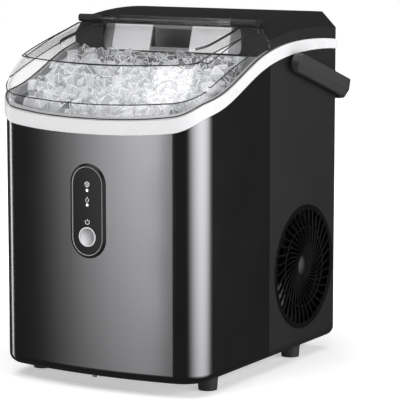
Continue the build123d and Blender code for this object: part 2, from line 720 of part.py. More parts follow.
def water_tank():
    outer = Pos(0, BIN_SETBACK, 0) * plan_prism(-5.2, DECK_Z, TANK_TOP)
    inner = Pos(0, BIN_SETBACK, 0) * plan_prism(-7.4, DECK_Z + 2.2, TALL)
    trim = block(-OUTER_X, OUTER_X, -200, BIN_BACK_Y, 0, TALL)
    hollow = block(-OUTER_X, OUTER_X, -200, BIN_BACK_Y - 2.2, 0, TALL)
    part = (outer & trim) - (inner & hollow)
    part = part - Pos(0, BIN_SETBACK, 0) * (plan_prism(0, DECK_Z - 1, 26) - plan_prism(-11, DECK_Z - 1, 26))
    part += (Pos(0, BIN_SETBACK, 0) * (plan_prism(-5.2, 24, 28) - plan_prism(-14, 24, 28))) & trim
    part += (Pos(0, BIN_SETBACK, 0) * (plan_prism(-11, DECK_Z, 26) - plan_prism(-13.2, DECK_Z, 26))) & trim
    part += block(-104, 104, BIN_BACK_Y - 2.2, BIN_BACK_Y, DECK_Z, 30)
    return clean(part - rod_x(-130, -90, DRAIN_Y, DRAIN_Z, 6.0))


def float_stem():
    part = rod_z(DECK_Z + 2.2, 126, FLOAT_X, FLOAT_Y, 3)
    part += rod_z(DECK_Z + 2.2, 30, FLOAT_X, FLOAT_Y, 8)
    return clean(part + rod_z(118, 121, FLOAT_X, FLOAT_Y, 6.5))


def float_ring():
    return rod_z(30.3, 46.3, FLOAT_X, FLOAT_Y, 12) - rod_z(20, 60, FLOAT_X, FLOAT_Y, 3.4)


def water_pump():
    part = rod_z(DECK_Z + 2.2, 52, PUMP_X, PUMP_Y, 17)
    part += rod_z(DECK_Z + 2.2, 30, PUMP_X, PUMP_Y, 21)
    return clean(part + rod_z(52, 60, PUMP_X, PUMP_Y, 4))


def drain_spout():
    tube = rod_x(-118, -96, DRAIN_Y, DRAIN_Z, 6.0) + rod_x(-112.5, -109.8, DRAIN_Y, DRAIN_Z, 10)
    return clean(tube - rod_x(-119, -95, DRAIN_Y, DRAIN_Z, 4.0))


def drain_cap():
    plug = rod_x(-118, -108, DRAIN_Y, DRAIN_Z, 3.95)
    return clean(plug + rod_x(-121.5, -118, DRAIN_Y, DRAIN_Z, 8.5))


# ---- base, electrics and small parts -------------------------------------------------------
def base_tray():
    part = plan_prism(-FOOT_ROUND - 1, TRAY_Z, DECK_Z)
    for x, y in FEET.values():
        part -= rod_z(0, 40, x, y, 3.0)
    for x, y in bolt_places():
        part -= rod_z(0, 40, x, y, 2.5)
    for x, y in screw_places():
        part -= rod_z(0, 40, x, y, 2.0)
    for row in range(6):
        part -= block(20 + 6 * row, 22.5 + 6 * row, 60, 110, 0, 40)
    return clean(part)


def screw_places():
    return [(-90, -120), (90, -120), (0, -146), (-60, 124), (60, 124)]


def base_screws():
    group = []
    for x, y in screw_places():
        head = rod_z(BODY_Z - 2, BODY_Z, x, y, 3.8)
        slot = block(x - 2.6, x + 2.6, y - 0.4, y + 0.4, BODY_Z - 2, BODY_Z - 1)
        group.append(head + rod_z(BODY_Z, DECK_Z, x, y, 2.0) - slot)
    return group


def foot(x, y):
    pad = Pos(x, y, BODY_Z / 2) * Cone(9.2, 10.2, BODY_Z)
    return clean(pad + rod_z(BODY_Z, DECK_Z, x, y, 3.0))


def control_board():
    board = block(-108.5, -106.9, 20, 110, 190, 280)
    board += block(-106.9, -92, 30, 55, 200, 225) + block(-106.9, -96, 70, 84, 200, 220)
    for i in range(4):
        board += rod_x(-106.9, -92, 32 + 18 * i, 255, 6)
    for y in (24, 106):
        for z in (194, 276):
            board += rod_x(-112.5, -108.5, y, z, 3)
    return clean(board)


def ir_sensor(side):
    eye = rod_x(side * 108 - 1.8, side * 108 + 1.8, IR_Y, IR_Z, 3.5)
    return clean(eye + rod_x(side * 111 - 1.2, side * 111 + 1.2, IR_Y, IR_Z, 5))


def cord_gland():
    body = rod_y(BACK_Y - 7, BACK_Y + 3, GLAND_X, GLAND_Z, 8.0) + rod_y(BACK_Y, BACK_Y + 2.5, GLAND_X, GLAND_Z, 11)
    tail = Pos(GLAND_X, BACK_Y + 10, GLAND_Z) * Rot(-90, 0, 0) * Cone(7, 5, 16)
    body += rod_y(BACK_Y - WALL - 3, BACK_Y - WALL, GLAND_X, GLAND_Z, 10.5)
    return clean(body + tail - rod_y(100, 180, GLAND_X, GLAND_Z, 3.75))


def water_hose():
    points = [(PUMP_X, PUMP_Y, 60), (PUMP_X, PUMP_Y, 142), (PUMP_X, AUGER_Y, 142),
              (PUMP_X, AUGER_Y, 186), (AUGER_X - 24, AUGER_Y, 186)]
    return tube_along(points, 12, 4.0)


def build_nodes():
    shell = whole_shell()
    nodes = {
        "base_tray": base_tray(),
        "front_shell": front_shell(shell),
        "rear_shell": rear_shell(shell),
        "trim_band": trim_band(),
        "rear_cover": rear_cover(),
        "lid": lid(),
        "lid_hinge_pin_left": hinge_pin(-1),
        "lid_hinge_pin_right": hinge_pin(1),
        "carry_handle": carry_handle(),
        "handle_pivot_left": handle_pivot(-1),
        "handle_pivot_right": handle_pivot(1),
        "panel_bezel": panel_bezel(),
        "panel_insert": panel_insert(),
        "led_ice_full": led(LED_Z[0]),
        "led_add_water": led(LED_Z[1]),
        "button_ring": button_ring(),
        "power_button": power_button(),
        "panel_board": panel_board(),
        "side_vent_grille": side_vent_grille(),
        "fan_shroud": fan_shroud(),
        "fan_motor": fan_motor(),
        "fan_blades": fan_blades(),
        "condenser_fins": condenser_fins(),
        "condenser_tube": condenser_tube(),
        "compressor": compressor(),
        "discharge_pipe": discharge_pipe(),
        "suction_pipe": suction_pipe(),
        "compressor_grommets": compressor_grommets(),
        "compressor_bolts": compressor_bolts(),
        "divider_panel": divider_panel(),
        "motor_bracket": motor_bracket(),
        "gearbox": gearbox(),
        "drive_motor": drive_motor(),
        "evaporator_cylinder": evaporator_cylinder(),
        "evaporator_coil": evaporator_coil(),
        "insulation_jacket": insulation_jacket(),
        "auger": auger(),
        "extruder_head": extruder_head(),
        "ice_chute": ice_chute(),
        "chute_guard_left": chute_guard(GUARD_OUT_X[0], AUGER_X - CHUTE_HALF),
        "chute_guard_right": chute_guard(AUGER_X + CHUTE_HALF, GUARD_OUT_X[1]),
        "inner_liner": inner_liner(),
        "ice_basket": ice_basket(),
        "water_tank": water_tank(),
        "float_stem": float_stem(),
        "float_ring": float_ring(),
        "water_pump": water_pump(),
        "water_hose": water_hose(),
        "drain_spout": drain_spout(),
        "drain_cap": drain_cap(),
        "control_board": control_board(),
        "ir_sensor_left": ir_sensor(-1),
        "ir_sensor_right": ir_sensor(1),
        "cord_gland": cord_gland(),
        "cover_screws": cover_screws(),
        "base_screws": base_screws(),
    }
    for name, (x, y) in FEET.items():
        nodes[name] = foot(x, y)
    return nodes


os.makedirs("parts", exist_ok=True)
for name, shape in build_nodes().items():
    solid = Compound(children=list(shape)) if isinstance(shape, list) else shape
    export_step(solid, f"parts/{name}.step")
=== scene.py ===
import json
import math
import random

import bmesh
import bpy
from mathutils import Matrix, Vector
from mathutils.bvhtree import BVHTree

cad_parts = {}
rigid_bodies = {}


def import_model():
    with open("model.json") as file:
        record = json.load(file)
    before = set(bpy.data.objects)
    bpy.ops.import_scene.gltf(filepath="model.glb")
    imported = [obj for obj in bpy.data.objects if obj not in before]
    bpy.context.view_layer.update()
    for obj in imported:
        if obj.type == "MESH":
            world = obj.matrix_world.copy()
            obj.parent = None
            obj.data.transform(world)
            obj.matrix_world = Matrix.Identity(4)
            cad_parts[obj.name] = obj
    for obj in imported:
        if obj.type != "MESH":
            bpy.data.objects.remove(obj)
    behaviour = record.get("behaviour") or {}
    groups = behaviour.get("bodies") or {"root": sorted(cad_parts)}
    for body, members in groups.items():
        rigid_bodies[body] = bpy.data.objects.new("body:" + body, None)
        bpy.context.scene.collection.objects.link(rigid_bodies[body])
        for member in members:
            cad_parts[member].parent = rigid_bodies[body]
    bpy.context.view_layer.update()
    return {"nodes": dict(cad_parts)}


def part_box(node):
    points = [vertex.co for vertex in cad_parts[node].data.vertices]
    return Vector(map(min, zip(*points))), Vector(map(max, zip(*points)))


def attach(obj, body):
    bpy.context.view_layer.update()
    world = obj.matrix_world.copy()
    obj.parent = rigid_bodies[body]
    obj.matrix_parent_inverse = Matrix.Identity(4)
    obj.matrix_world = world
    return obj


# the default scene's cube, light and camera aren't wanted
for spare in list(bpy.data.objects):
    bpy.data.objects.remove(spare)

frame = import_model()
NODES = frame["nodes"]

# ---- the view and the studio ----------------------------------------------------------------
CAMERA_AT = Vector((1.0857, -1.7922, 0.4709))
CAMERA_AIM = Vector((0.0276, 0.0062, 0.1673))
LENS = 186.4
# brightness across a softbox, eased between stops: dark at one edge, or dark at both edges
GRADED = [(0.0, 0.0), (1.0, 1.0)]
BELL = [(0.0, 0.0), (0.5, 1.0), (1.0, 0.0)]
# brightness up a softbox: dark at its foot, full from a little above its middle
FALL_OFF = [(0.0, 0.0), (0.6, 1.0)]


def add_camera():
    data = bpy.data.cameras.new("camera")
    data.lens = LENS
    data.sensor_width = 36
    data.clip_end = 50
    camera = bpy.data.objects.new("camera", data)
    camera.location = CAMERA_AT
    camera.rotation_euler = (CAMERA_AIM - CAMERA_AT).to_track_quat("-Z", "Y").to_euler()
    bpy.context.scene.collection.objects.link(camera)
    bpy.context.scene.camera = camera


def compass(azimuth, distance, height):
    """A point seen from the object's middle: azimuth 0 is the front, 90 the right side."""
    turn = math.radians(azimuth)
    return Vector((distance * math.sin(turn), -distance * math.cos(turn), height))


def softbox(name, azimuth, distance, height, size, radiance, profile=None, aim=None):
    """An area light whose brightness may run across its width and fall off downwards."""
    width, tall = size
    data = bpy.data.lights.new(name, "AREA")
    data.shape = "RECTANGLE"
    data.size = width
    data.size_y = tall
    data.energy = radiance * math.pi * width * tall
    light = bpy.data.objects.new(name, data)
    light.location = compass(azimuth, distance, height)
    target = aim or Vector((0, 0, height))
    light.rotation_euler = (target - light.location).to_track_quat("-Z", "Y").to_euler()
    light.visible_camera = False
    bpy.context.scene.collection.objects.link(light)
    if profile:
        shape_light(data, profile)
    return light


def brightness_ramp(tree, source, stops):
    ramp = tree.nodes.new("ShaderNodeValToRGB")
    ramp.color_ramp.interpolation = "EASE"
    while len(ramp.color_ramp.elements) < len(stops):
        ramp.color_ramp.elements.new(0.5)
    for element, (place_at, level) in zip(ramp.color_ramp.elements, stops):
        element.position = place_at
        element.color = (level, level, level, 1)
    tree.links.new(source, ramp.inputs[0])
    return ramp.outputs[0]


def shape_light(data, profile):
    data.use_nodes = True
    tree = data.node_tree
    emission = next(n for n in tree.nodes if n.type == "EMISSION")
    place = tree.nodes.new("ShaderNodeNewGeometry")
    split = tree.nodes.new("ShaderNodeSeparateXYZ")
    tree.links.new(place.outputs["Parametric"], split.inputs[0])
    across = brightness_ramp(tree, split.outputs["X"], profile)
    down = brightness_ramp(tree, split.outputs["Y"], FALL_OFF)
    both = tree.nodes.new("ShaderNodeMath")
    both.operation = "MULTIPLY"
    tree.links.new(across, both.inputs[0])
    tree.links.new(down, both.inputs[1])
    tree.links.new(both.outputs[0], emission.inputs["Strength"])


def add_world():
    world = bpy.data.worlds.new("studio")
    bpy.context.scene.world = world
    world.use_nodes = True
    tree = world.node_tree
    tree.nodes.clear()
    out = tree.nodes.new("ShaderNodeOutputWorld")
    seen = tree.nodes.new("ShaderNodeBackground")
    fill = tree.nodes.new("ShaderNodeBackground")
    path = tree.nodes.new("ShaderNodeLightPath")
    mix = tree.nodes.new("ShaderNodeMixShader")
    seen.inputs["Color"].default_value = (1, 1, 1, 1)
    fill.inputs["Color"].default_value = (1, 1, 1, 1)
    fill.inputs["Strength"].default_value = 0.05
    tree.links.new(path.outputs["Is Camera Ray"], mix.inputs[0])
    tree.links.new(fill.outputs[0], mix.inputs[1])
    tree.links.new(seen.outputs[0], mix.inputs[2])
    tree.links.new(mix.outputs[0], out.inputs[0])


def add_floor():
    bm = bmesh.new()
    bmesh.ops.create_circle(bm, cap_ends=True, segments=96, radius=6.0)
    mesh = bpy.data.meshes.new("studio_floor")
    bm.to_mesh(mesh)
    bm.free()
    floor = bpy.data.objects.new("studio_floor", mesh)
    floor.location.z = -0.0004
    floor.visible_glossy = False
    bpy.context.scene.collection.objects.link(floor)
    floor.data.materials.append(floor_material())


def floor_material():
    """White paper that fades into the white surroundings away from the object: it glows, weakly near the
    object and fully further out, as painted light.
    """
    material, tree, shader = new_material("floor_paper")
    shader.inputs["Base Color"].default_value = (0.93, 0.93, 0.93, 1)
    shader.inputs["Roughness"].default_value = 0.9
    shader.inputs["Specular IOR Level"].default_value = 0.0
    shader.inputs["Emission Color"].default_value = (1, 1, 1, 1)
    where = tree.nodes.new("ShaderNodeTexCoord")
    length = tree.nodes.new("ShaderNodeVectorMath")
    length.operation = "LENGTH"
    spread = tree.nodes.new("ShaderNodeMapRange")
    spread.interpolation_type = "SMOOTHSTEP"
    spread.inputs["From Min"].default_value = 0.12
    spread.inputs["From Max"].default_value = 0.6
    spread.inputs["To Min"].default_value = 0.42
    spread.inputs["To Max"].default_value = 1.0
    tree.links.new(where.outputs["Object"], length.inputs[0])
    tree.links.new(length.outputs["Value"], spread.inputs["Value"])
    # painted light: the floor's glow grows with distance from the object
    tree.links.new(spread.outputs[0], shader.inputs["Emission Strength"])
    return material


def add_lights():
    softbox("front_left_sheet", -30.0, 2.5, 0.0, (1.9, 2.4), 2.7, GRADED)
    softbox("right_sheet", 92.0, 1.6, 0.0, (3.9, 2.2), 3.8, BELL)
    softbox("left_strip", -84.0, 1.6, 0.0, (0.4, 2.0), 5.5, BELL)
    softbox("overhead", 0, 0.25, 2.4, (2.6, 2.6), 1.6, aim=Vector((0, 0, 0)))
    softbox("front_key", -15.0, 1.6, 2.0, (1.2, 1.0), 3.2, aim=Vector((0, 0, 0.25)))


# ---- materials --------------------------------------------------------------------------------
def new_material(name):
    material = bpy.data.materials.new(name)
    material.use_nodes = True
    tree = material.node_tree
    shader = next(n for n in tree.nodes if n.type == "BSDF_PRINCIPLED")
    return material, tree, shader


def add_noise(tree, scale, detail=3.0):
    where = tree.nodes.new("ShaderNodeTexCoord")
    noise = tree.nodes.new("ShaderNodeTexNoise")
    noise.inputs["Scale"].default_value = scale
    noise.inputs["Detail"].default_value = detail
    tree.links.new(where.outputs["Object"], noise.inputs["Vector"])
    return noise


def vary(tree, noise, low, high, target):
    spread = tree.nodes.new("ShaderNodeMapRange")
    spread.inputs["From Min"].default_value = 0.3
    spread.inputs["From Max"].default_value = 0.7
    spread.inputs["To Min"].default_value = low
    spread.inputs["To Max"].default_value = high
    tree.links.new(noise.outputs["Fac"], spread.inputs["Value"])
    tree.links.new(spread.outputs[0], target)


def soften_edges(tree, radius):
    edge = tree.nodes.new("ShaderNodeBevel")
    edge.samples = 4
    edge.inputs["Radius"].default_value = radius
    return edge


def surface(name, colour, rough, metal=0.0, specular=0.5, spread=0.03, grain=0.0, grain_scale=900,
            edge=0.0, coat=0.0):
    """A moulded or painted surface with slightly uneven gloss, a fine grain and soft edges."""
    material, tree, shader = new_material(name)
    shader.inputs["Base Color"].default_value = (*colour, 1)
    shader.inputs["Metallic"].default_value = metal
    shader.inputs["Specular IOR Level"].default_value = specular
    shader.inputs["Coat Weight"].default_value = coat
    shader.inputs["Coat Roughness"].default_value = 0.06
    if spread:
        vary(tree, add_noise(tree, 14), max(rough - spread, 0), rough + spread, shader.inputs["Roughness"])
    else:
        shader.inputs["Roughness"].default_value = rough
    normal = None
    if edge:
        normal = soften_edges(tree, edge).outputs[0]
    if grain:
        bump = tree.nodes.new("ShaderNodeBump")
        bump.inputs["Strength"].default_value = grain
        bump.inputs["Distance"].default_value = 0.0002
        tree.links.new(add_noise(tree, grain_scale).outputs["Fac"], bump.inputs["Height"])
        if normal:
            tree.links.new(normal, bump.inputs["Normal"])
        normal = bump.outputs[0]
    if normal:
        tree.links.new(normal, shader.inputs["Normal"])
    return material


def clear_plastic(name, tint, rough, edge=0.0, body=0.0):
    """Clear plastic: see-through, with a mirror film that grows at a glancing view."""
    material, tree, shader = new_material(name)
    tree.nodes.remove(shader)
    out = next(n for n in tree.nodes if n.type == "OUTPUT_MATERIAL")
    through = tree.nodes.new("ShaderNodeBsdfTransparent")
    through.inputs["Color"].default_value = (*tint, 1)
    film = tree.nodes.new("ShaderNodeBsdfGlossy")
    film.inputs["Color"].default_value = (1, 1, 1, 1)
    film.inputs["Roughness"].default_value = rough
    glance = tree.nodes.new("ShaderNodeLayerWeight")
    glance.inputs["Blend"].default_value = 0.5
    steep = tree.nodes.new("ShaderNodeMath")
    steep.operation = "POWER"
    steep.inputs[1].default_value = 5.0
    amount = tree.nodes.new("ShaderNodeMapRange")
    amount.inputs["To Min"].default_value = 0.035
    amount.inputs["To Max"].default_value = 0.9
    mix = tree.nodes.new("ShaderNodeMixShader")
    tree.links.new(glance.outputs["Facing"], steep.inputs[0])
    tree.links.new(steep.outputs[0], amount.inputs["Value"])
    tree.links.new(amount.outputs[0], mix.inputs[0])
    tree.links.new(through.outputs[0], mix.inputs[1])
    tree.links.new(film.outputs[0], mix.inputs[2])
    if edge:
        soft = soften_edges(tree, edge)
        tree.links.new(soft.outputs[0], film.inputs["Normal"])
        tree.links.new(soft.outputs[0], glance.inputs["Normal"])
    last = mix
    if body:
        milk = tree.nodes.new("ShaderNodeBsdfDiffuse")
        milk.inputs["Color"].default_value = (0.8, 0.83, 0.85, 1)
        last = tree.nodes.new("ShaderNodeMixShader")
        last.inputs[0].default_value = body
        tree.links.new(mix.outputs[0], last.inputs[1])
        tree.links.new(milk.outputs[0], last.inputs[2])
    tree.links.new(last.outputs[0], out.inputs[0])
    return material


def spun_metal(name, colour, rough, centre):
    """Metal turned on a lathe: fine rings round the Y axis through centre."""
    material, tree, shader = new_material(name)
    shader.inputs["Base Color"].default_value = (*colour, 1)
    shader.inputs["Metallic"].default_value = 1.0
    where = tree.nodes.new("ShaderNodeTexCoord")
    shift = tree.nodes.new("ShaderNodeMapping")
    shift.inputs["Location"].default_value = (-centre.x, 0, -centre.z)
    shift.inputs["Scale"].default_value = (1, 0, 1)
    rings = tree.nodes.new("ShaderNodeTexWave")
    rings.wave_type = "RINGS"
    rings.rings_direction = "SPHERICAL"
    rings.inputs["Scale"].default_value = 900
    rings.inputs["Distortion"].default_value = 1.0
    tree.links.new(where.outputs["Object"], shift.inputs["Vector"])
    tree.links.new(shift.outputs[0], rings.inputs["Vector"])
    vary(tree, rings, rough - 0.08, rough + 0.1, shader.inputs["Roughness"])
    bump = tree.nodes.new("ShaderNodeBump")
    bump.inputs["Strength"].default_value = 0.15
    bump.inputs["Distance"].default_value = 0.0001
    tree.links.new(rings.outputs["Fac"], bump.inputs["Height"])
    tree.links.new(bump.outputs[0], shader.inputs["Normal"])
    return material


def glow(name, colour, strength):
    material, tree, shader = new_material(name)
    shader.inputs["Base Color"].default_value = (*colour, 1)
    vary(tree, add_noise(tree, 60), 0.12, 0.4, shader.inputs["Roughness"])
    shader.inputs["Emission Color"].default_value = (*colour, 1)
    shader.inputs["Emission Strength"].default_value = strength
    return material


def ice_material():
    """Half-clear facets, each with its own tone from the mesh, over white edges that are painted highlights;
    the facets also glow faintly, as painted light.
    """
    material, tree, shader = new_material("ice")
    out = next(n for n in tree.nodes if n.type == "OUTPUT_MATERIAL")
    tone = tree.nodes.new("ShaderNodeAttribute")
    tone.attribute_name = "tone"
    tree.links.new(tone.outputs["Color"], shader.inputs["Base Color"])
    # painted glow: the ice gives off a faint light in its own tones
    tree.links.new(tone.outputs["Color"], shader.inputs["Emission Color"])
    shader.inputs["Emission Strength"].default_value = 0.12
    shader.inputs["Roughness"].default_value = 0.1
    shader.inputs["IOR"].default_value = 1.31
    bump = tree.nodes.new("ShaderNodeBump")
    bump.inputs["Strength"].default_value = 0.3
    bump.inputs["Distance"].default_value = 0.0008
    tree.links.new(add_noise(tree, 300).outputs["Fac"], bump.inputs["Height"])
    tree.links.new(bump.outputs[0], shader.inputs["Normal"])
    clear = tree.nodes.new("ShaderNodeBsdfTransparent")
    clear.inputs["Color"].default_value = (0.97, 0.98, 0.99, 1)
    mix = tree.nodes.new("ShaderNodeMixShader")
    tree.links.new(tone.outputs["Alpha"], mix.inputs[0])
    tree.links.new(clear.outputs[0], mix.inputs[1])
    tree.links.new(shader.outputs[0], mix.inputs[2])
    tree.links.new(mix.outputs[0], out.inputs[0])
    return material


def paint(material, *names):
    for name in names:
        slots = NODES[name].data.materials
        slots.clear()
        slots.append(material)


def box_middle(name):
    low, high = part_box(name)
    return (low + high) / 2


def paint_nodes():
    body = surface("front_lacquer", (0.2, 0.2, 0.207), 0.17, metal=1.0, spread=0.02, edge=0.0006)
    paint(body, "front_shell")
    satin = surface("satin_black", (0.013, 0.013, 0.0142), 0.36, specular=0.4, grain=0.25, edge=0.0006)
    paint(satin, "rear_shell", "rear_cover", "handle_pivot_left", "handle_pivot_right")
    grip = surface("grip_black", (0.032, 0.032, 0.034), 0.36, grain=0.2, edge=0.0012)
    paint(grip, "carry_handle")
    gloss = surface("gloss_black", (0.003, 0.003, 0.0035), 0.16, specular=0.3, edge=0.0006)
    paint(gloss, "side_vent_grille", "fan_blades", "panel_insert")
    pearl = surface("pearl_white", (0.62, 0.62, 0.63), 0.3, specular=0.3, edge=0.0008)
    paint(pearl, "trim_band")
    paint(clear_plastic("clear_lid", (0.985, 0.985, 0.988), 0.03, edge=0.0009), "lid")
    paint(clear_plastic("clear_basket", (0.93, 0.93, 0.93), 0.08, body=0.04), "ice_basket")
    silver = surface("silver_trim", (0.75, 0.75, 0.77), 0.3, metal=0.6, edge=0.0005)
    paint(silver, "button_ring")
    bezel = surface("bezel_black", (0.008, 0.008, 0.009), 0.25, specular=0.3, edge=0.0003)
    paint(bezel, "panel_bezel")
    paint(spun_metal("spun_cap", (0.62, 0.62, 0.64), 0.3, box_middle("power_button")), "power_button")
    paint(glow("led_light", (1.0, 1.0, 1.0), 0.9), "led_ice_full", "led_add_water")
    # the chute guards glow white: a painted reflection of the softboxes in their glossy faces
    guard = glow("chute_guard_painted_reflection", (0.92, 0.92, 0.93), 0.42)
    paint(guard, "chute_guard_left", "chute_guard_right")
    chute = surface("chute_grey", (0.55, 0.55, 0.56), 0.35, grain=0.2)
    paint(chute, "ice_chute", "extruder_head")
    grey = surface("grey_plastic", (0.2, 0.2, 0.21), 0.3, grain=0.2)
    paint(grey, "base_tray", "water_pump", "ir_sensor_left", "ir_sensor_right")
    shroud = surface("shroud_black", (0.01, 0.01, 0.0105), 0.4, grain=0.2)
    paint(shroud, "fan_shroud")
    white = surface("white_plastic", (0.75, 0.76, 0.77), 0.35, grain=0.2)
    paint(white, "inner_liner", "water_tank", "float_stem", "float_ring", "drain_spout")
    rubber = surface("rubber", (0.02, 0.02, 0.02), 0.7, grain=0.5, grain_scale=2500, edge=0.0006)
    paint(rubber, "foot_front_left", "foot_front_right", "foot_rear_left", "foot_rear_right",
          "cord_gland", "drain_cap", "compressor_grommets")
    steel = surface("steel", (0.5, 0.5, 0.52), 0.3, metal=1.0, spread=0.06, edge=0.0002)
    dark_pin = surface("dark_pin", (0.12, 0.12, 0.12), 0.3, metal=1.0)
    paint(dark_pin, "lid_hinge_pin_left", "lid_hinge_pin_right")
    paint(steel, "fan_motor", "compressor_bolts",
          "drive_motor", "evaporator_cylinder", "auger", "cover_screws", "base_screws")
    zinc = surface("zinc_sheet", (0.5, 0.52, 0.55), 0.4, metal=1.0, spread=0.12)
    paint(zinc, "divider_panel", "motor_bracket")
    paint(surface("fin_aluminium", (0.7, 0.71, 0.73), 0.35, metal=1.0), "condenser_fins")
    paint(surface("cast_alloy", (0.45, 0.46, 0.48), 0.5, metal=1.0, grain=0.6, grain_scale=600), "gearbox")
    paint(surface("copper", (0.75, 0.32, 0.16), 0.28, metal=1.0, spread=0.08),
          "condenser_tube", "discharge_pipe", "suction_pipe", "evaporator_coil")
    paint(surface("black_enamel", (0.01, 0.01, 0.01), 0.25), "compressor")
    paint(surface("foam", (0.05, 0.05, 0.052), 0.9, grain=0.8, grain_scale=500), "insulation_jacket")
    paint(surface("circuit_green", (0.02, 0.12, 0.05), 0.4), "control_board", "panel_board")
    paint(surface("silicone", (0.6, 0.6, 0.58), 0.4), "water_hose")


# ---- ice --------------------------------------------------------------------------------------
NUGGET = 0.0076
NUGGET_PITCH = 0.0105
NUGGET_SHAKE = 0.0025
WALL_CLEARANCE = 0.0025
ROW_START = 0.004
LAYERS = 4
LAYER_DROP = 0.008
RANDOM_TURN = 6.3
# behind this place, in the shade of the lid's top, more of the chunks are painted dark and more see-through:
# painted shade
SHADE_Y = -0.06
FACE_ARC_R = 0.487
BASKET_CORNER = 0.023
PROTOTYPES = 16
HEAP_OVER_CHUTE = 0.003
# the heap leans: this much lower per metre towards the right
HEAP_TILT = 0.035
BASKET_LOW, BASKET_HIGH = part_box("ice_basket")
LID_RIM_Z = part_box("lid")[0].z
CHUTE_FOOT_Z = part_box("ice_chute")[0].z


def nugget_shape(rng):
    """One chunk: the convex hull of a few uneven points, with narrow bevelled edges.
    Returns its points, its faces, and whether each face is an edge strip."""
    bm = bmesh.new()
    stretch = Vector((rng.uniform(0.75, 1.15), rng.uniform(0.75, 1.1), rng.uniform(0.7, 1.0)))
    for corner in range(8):
        way = Vector((1 if corner & 1 else -1, 1 if corner & 2 else -1, 1 if corner & 4 else -1))
        way += Vector((rng.uniform(-0.5, 0.5), rng.uniform(-0.5, 0.5), rng.uniform(-0.5, 0.5)))
        bm.verts.new(way * stretch * 0.62)
    for _ in range(3):
        way = Vector((rng.gauss(0, 1), rng.gauss(0, 1), rng.gauss(0, 1))).normalized()
        bm.verts.new(way * stretch)
    bmesh.ops.convex_hull(bm, input=bm.verts)
    loose = [v for v in bm.verts if not v.link_faces]
    bmesh.ops.delete(bm, geom=loose, context="VERTS")
    bmesh.ops.dissolve_limit(bm, angle_limit=math.radians(12), verts=bm.verts, edges=bm.edges)
    strips = bmesh.ops.bevel(bm, geom=list(bm.edges), offset=0.06, segments=1, affect="EDGES")["faces"]
    bm.verts.index_update()
    points = [v.co.copy() for v in bm.verts]
    narrow = set(strips)
    faces = [([v.index for v in f.verts], f in narrow) for f in bm.faces]
    bm.free()
    return points, faces


def in_basket(x, y, margin):
    """True inside the basket's bowed front and rounded corners, by at least a margin."""
    half = BASKET_HIGH.x - margin
    front = BASKET_LOW.y + margin + x * x / (2 * FACE_ARC_R)
    if abs(x) > half or y < front or y > BASKET_HIGH.y - margin:
        return False
    corner_x = half - BASKET_CORNER
    corner_y = BASKET_LOW.y + margin + corner_x**2 / (2 * FACE_ARC_R) + BASKET_CORNER
    if abs(x) < corner_x or y > corner_y:
        return True
    return math.hypot(abs(x) - corner_x, y - corner_y) < BASKET_CORNER


def heap_top(x, y):
    """Height of the ice surface: level with the lid's front rim, then curving up to the chute's foot."""
    share = min(max((y - BASKET_LOW.y) / (BASKET_HIGH.y - BASKET_LOW.y), 0), 1)
    climb = CHUTE_FOOT_Z + HEAP_OVER_CHUTE - LID_RIM_Z
    return LID_RIM_Z + climb * (1 - (1 - share) ** 2) - HEAP_TILT * x * share


def chunk_places(rng):
    """Places for chunks in the basket, layer by layer and row by row, with each chunk's size."""
    for layer in range(LAYERS):
        y = BASKET_LOW.y
        while y < BASKET_HIGH.y:
            x = BASKET_LOW.x + rng.uniform(0, ROW_START)
            while x < BASKET_HIGH.x:
                px = x + rng.uniform(-NUGGET_SHAKE, NUGGET_SHAKE)
                py = y + rng.uniform(-NUGGET_SHAKE, NUGGET_SHAKE)
                size = NUGGET * rng.uniform(0.75, 1.3)
                x += NUGGET_PITCH * rng.uniform(0.85, 1.15)
                if in_basket(px, py, WALL_CLEARANCE + size):
                    yield px, py, size, layer
            y += NUGGET_PITCH


def facet_tone(rng, is_edge, is_painted_shade):
    """A face's grey tone, and how solid it looks: edge strips are painted highlights, darkened chunks
    painted shade.
    """
    if is_edge:
        return rng.uniform(0.88, 1.0), 0.95
    if is_painted_shade:
        return rng.uniform(0.1, 0.5), 0.55
    return rng.uniform(0.6, 0.92), rng.uniform(0.6, 0.88)


def paint_tones(mesh, tones):
    layer = mesh.attributes.new("tone", "FLOAT_COLOR", "CORNER")
    i = 0
    for polygon, (tone, solid) in zip(mesh.polygons, tones):
        for _ in polygon.loop_indices:
            layer.data[i].color = (tone * 0.985, tone * 0.99, tone, solid)
            i += 1


def build_ice():
    rng = random.Random(7)
    shapes = [nugget_shape(rng) for _ in range(PROTOTYPES)]
    verts, faces, tones = [], [], []
    for px, py, size, layer in chunk_places(rng):
        top = heap_top(px, py) - size
        pz = top - layer * LAYER_DROP + rng.uniform(-0.0025, 0.002)
        turn = Matrix.Rotation(rng.uniform(0, RANDOM_TURN), 3, "Z")
        spin = turn @ Matrix.Rotation(rng.uniform(0, RANDOM_TURN), 3, "X")
        points, plates = shapes[rng.randrange(PROTOTYPES)]
        first = len(verts)
        verts.extend(spin @ (p * size) + Vector((px, py, pz)) for p in points)
        # chunks painted dark as shade, far more often behind SHADE_Y under the lid's top
        is_painted_shade = rng.uniform(0.0, 1.0) < 0.08 + 0.45 * (py > SHADE_Y)
        for plate, is_edge in plates:
            faces.append([first + i for i in plate])
            tones.append(facet_tone(rng, is_edge, is_painted_shade))
    mesh = bpy.data.meshes.new("ice_nuggets")
    mesh.from_pydata(verts, [], faces)
    paint_tones(mesh, tones)
    ice = bpy.data.objects.new("ice_nuggets", mesh)
    bpy.context.scene.collection.objects.link(ice)
    ice.data.materials.append(ice_material())
    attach(ice, "body")


# ---- lid edges --------------------------------------------------------------------------------
FOLD_LINE = 0.00055
FOLD_ANGLE = math.radians(20)
SHORTEST_FOLD = 0.012
# the pad's front step lies in front of this place, inside this half-width and above this height
PAD_FRONT_Y = -0.088
PAD_HALF_X = 0.08
PAD_STEP_Z = 0.316


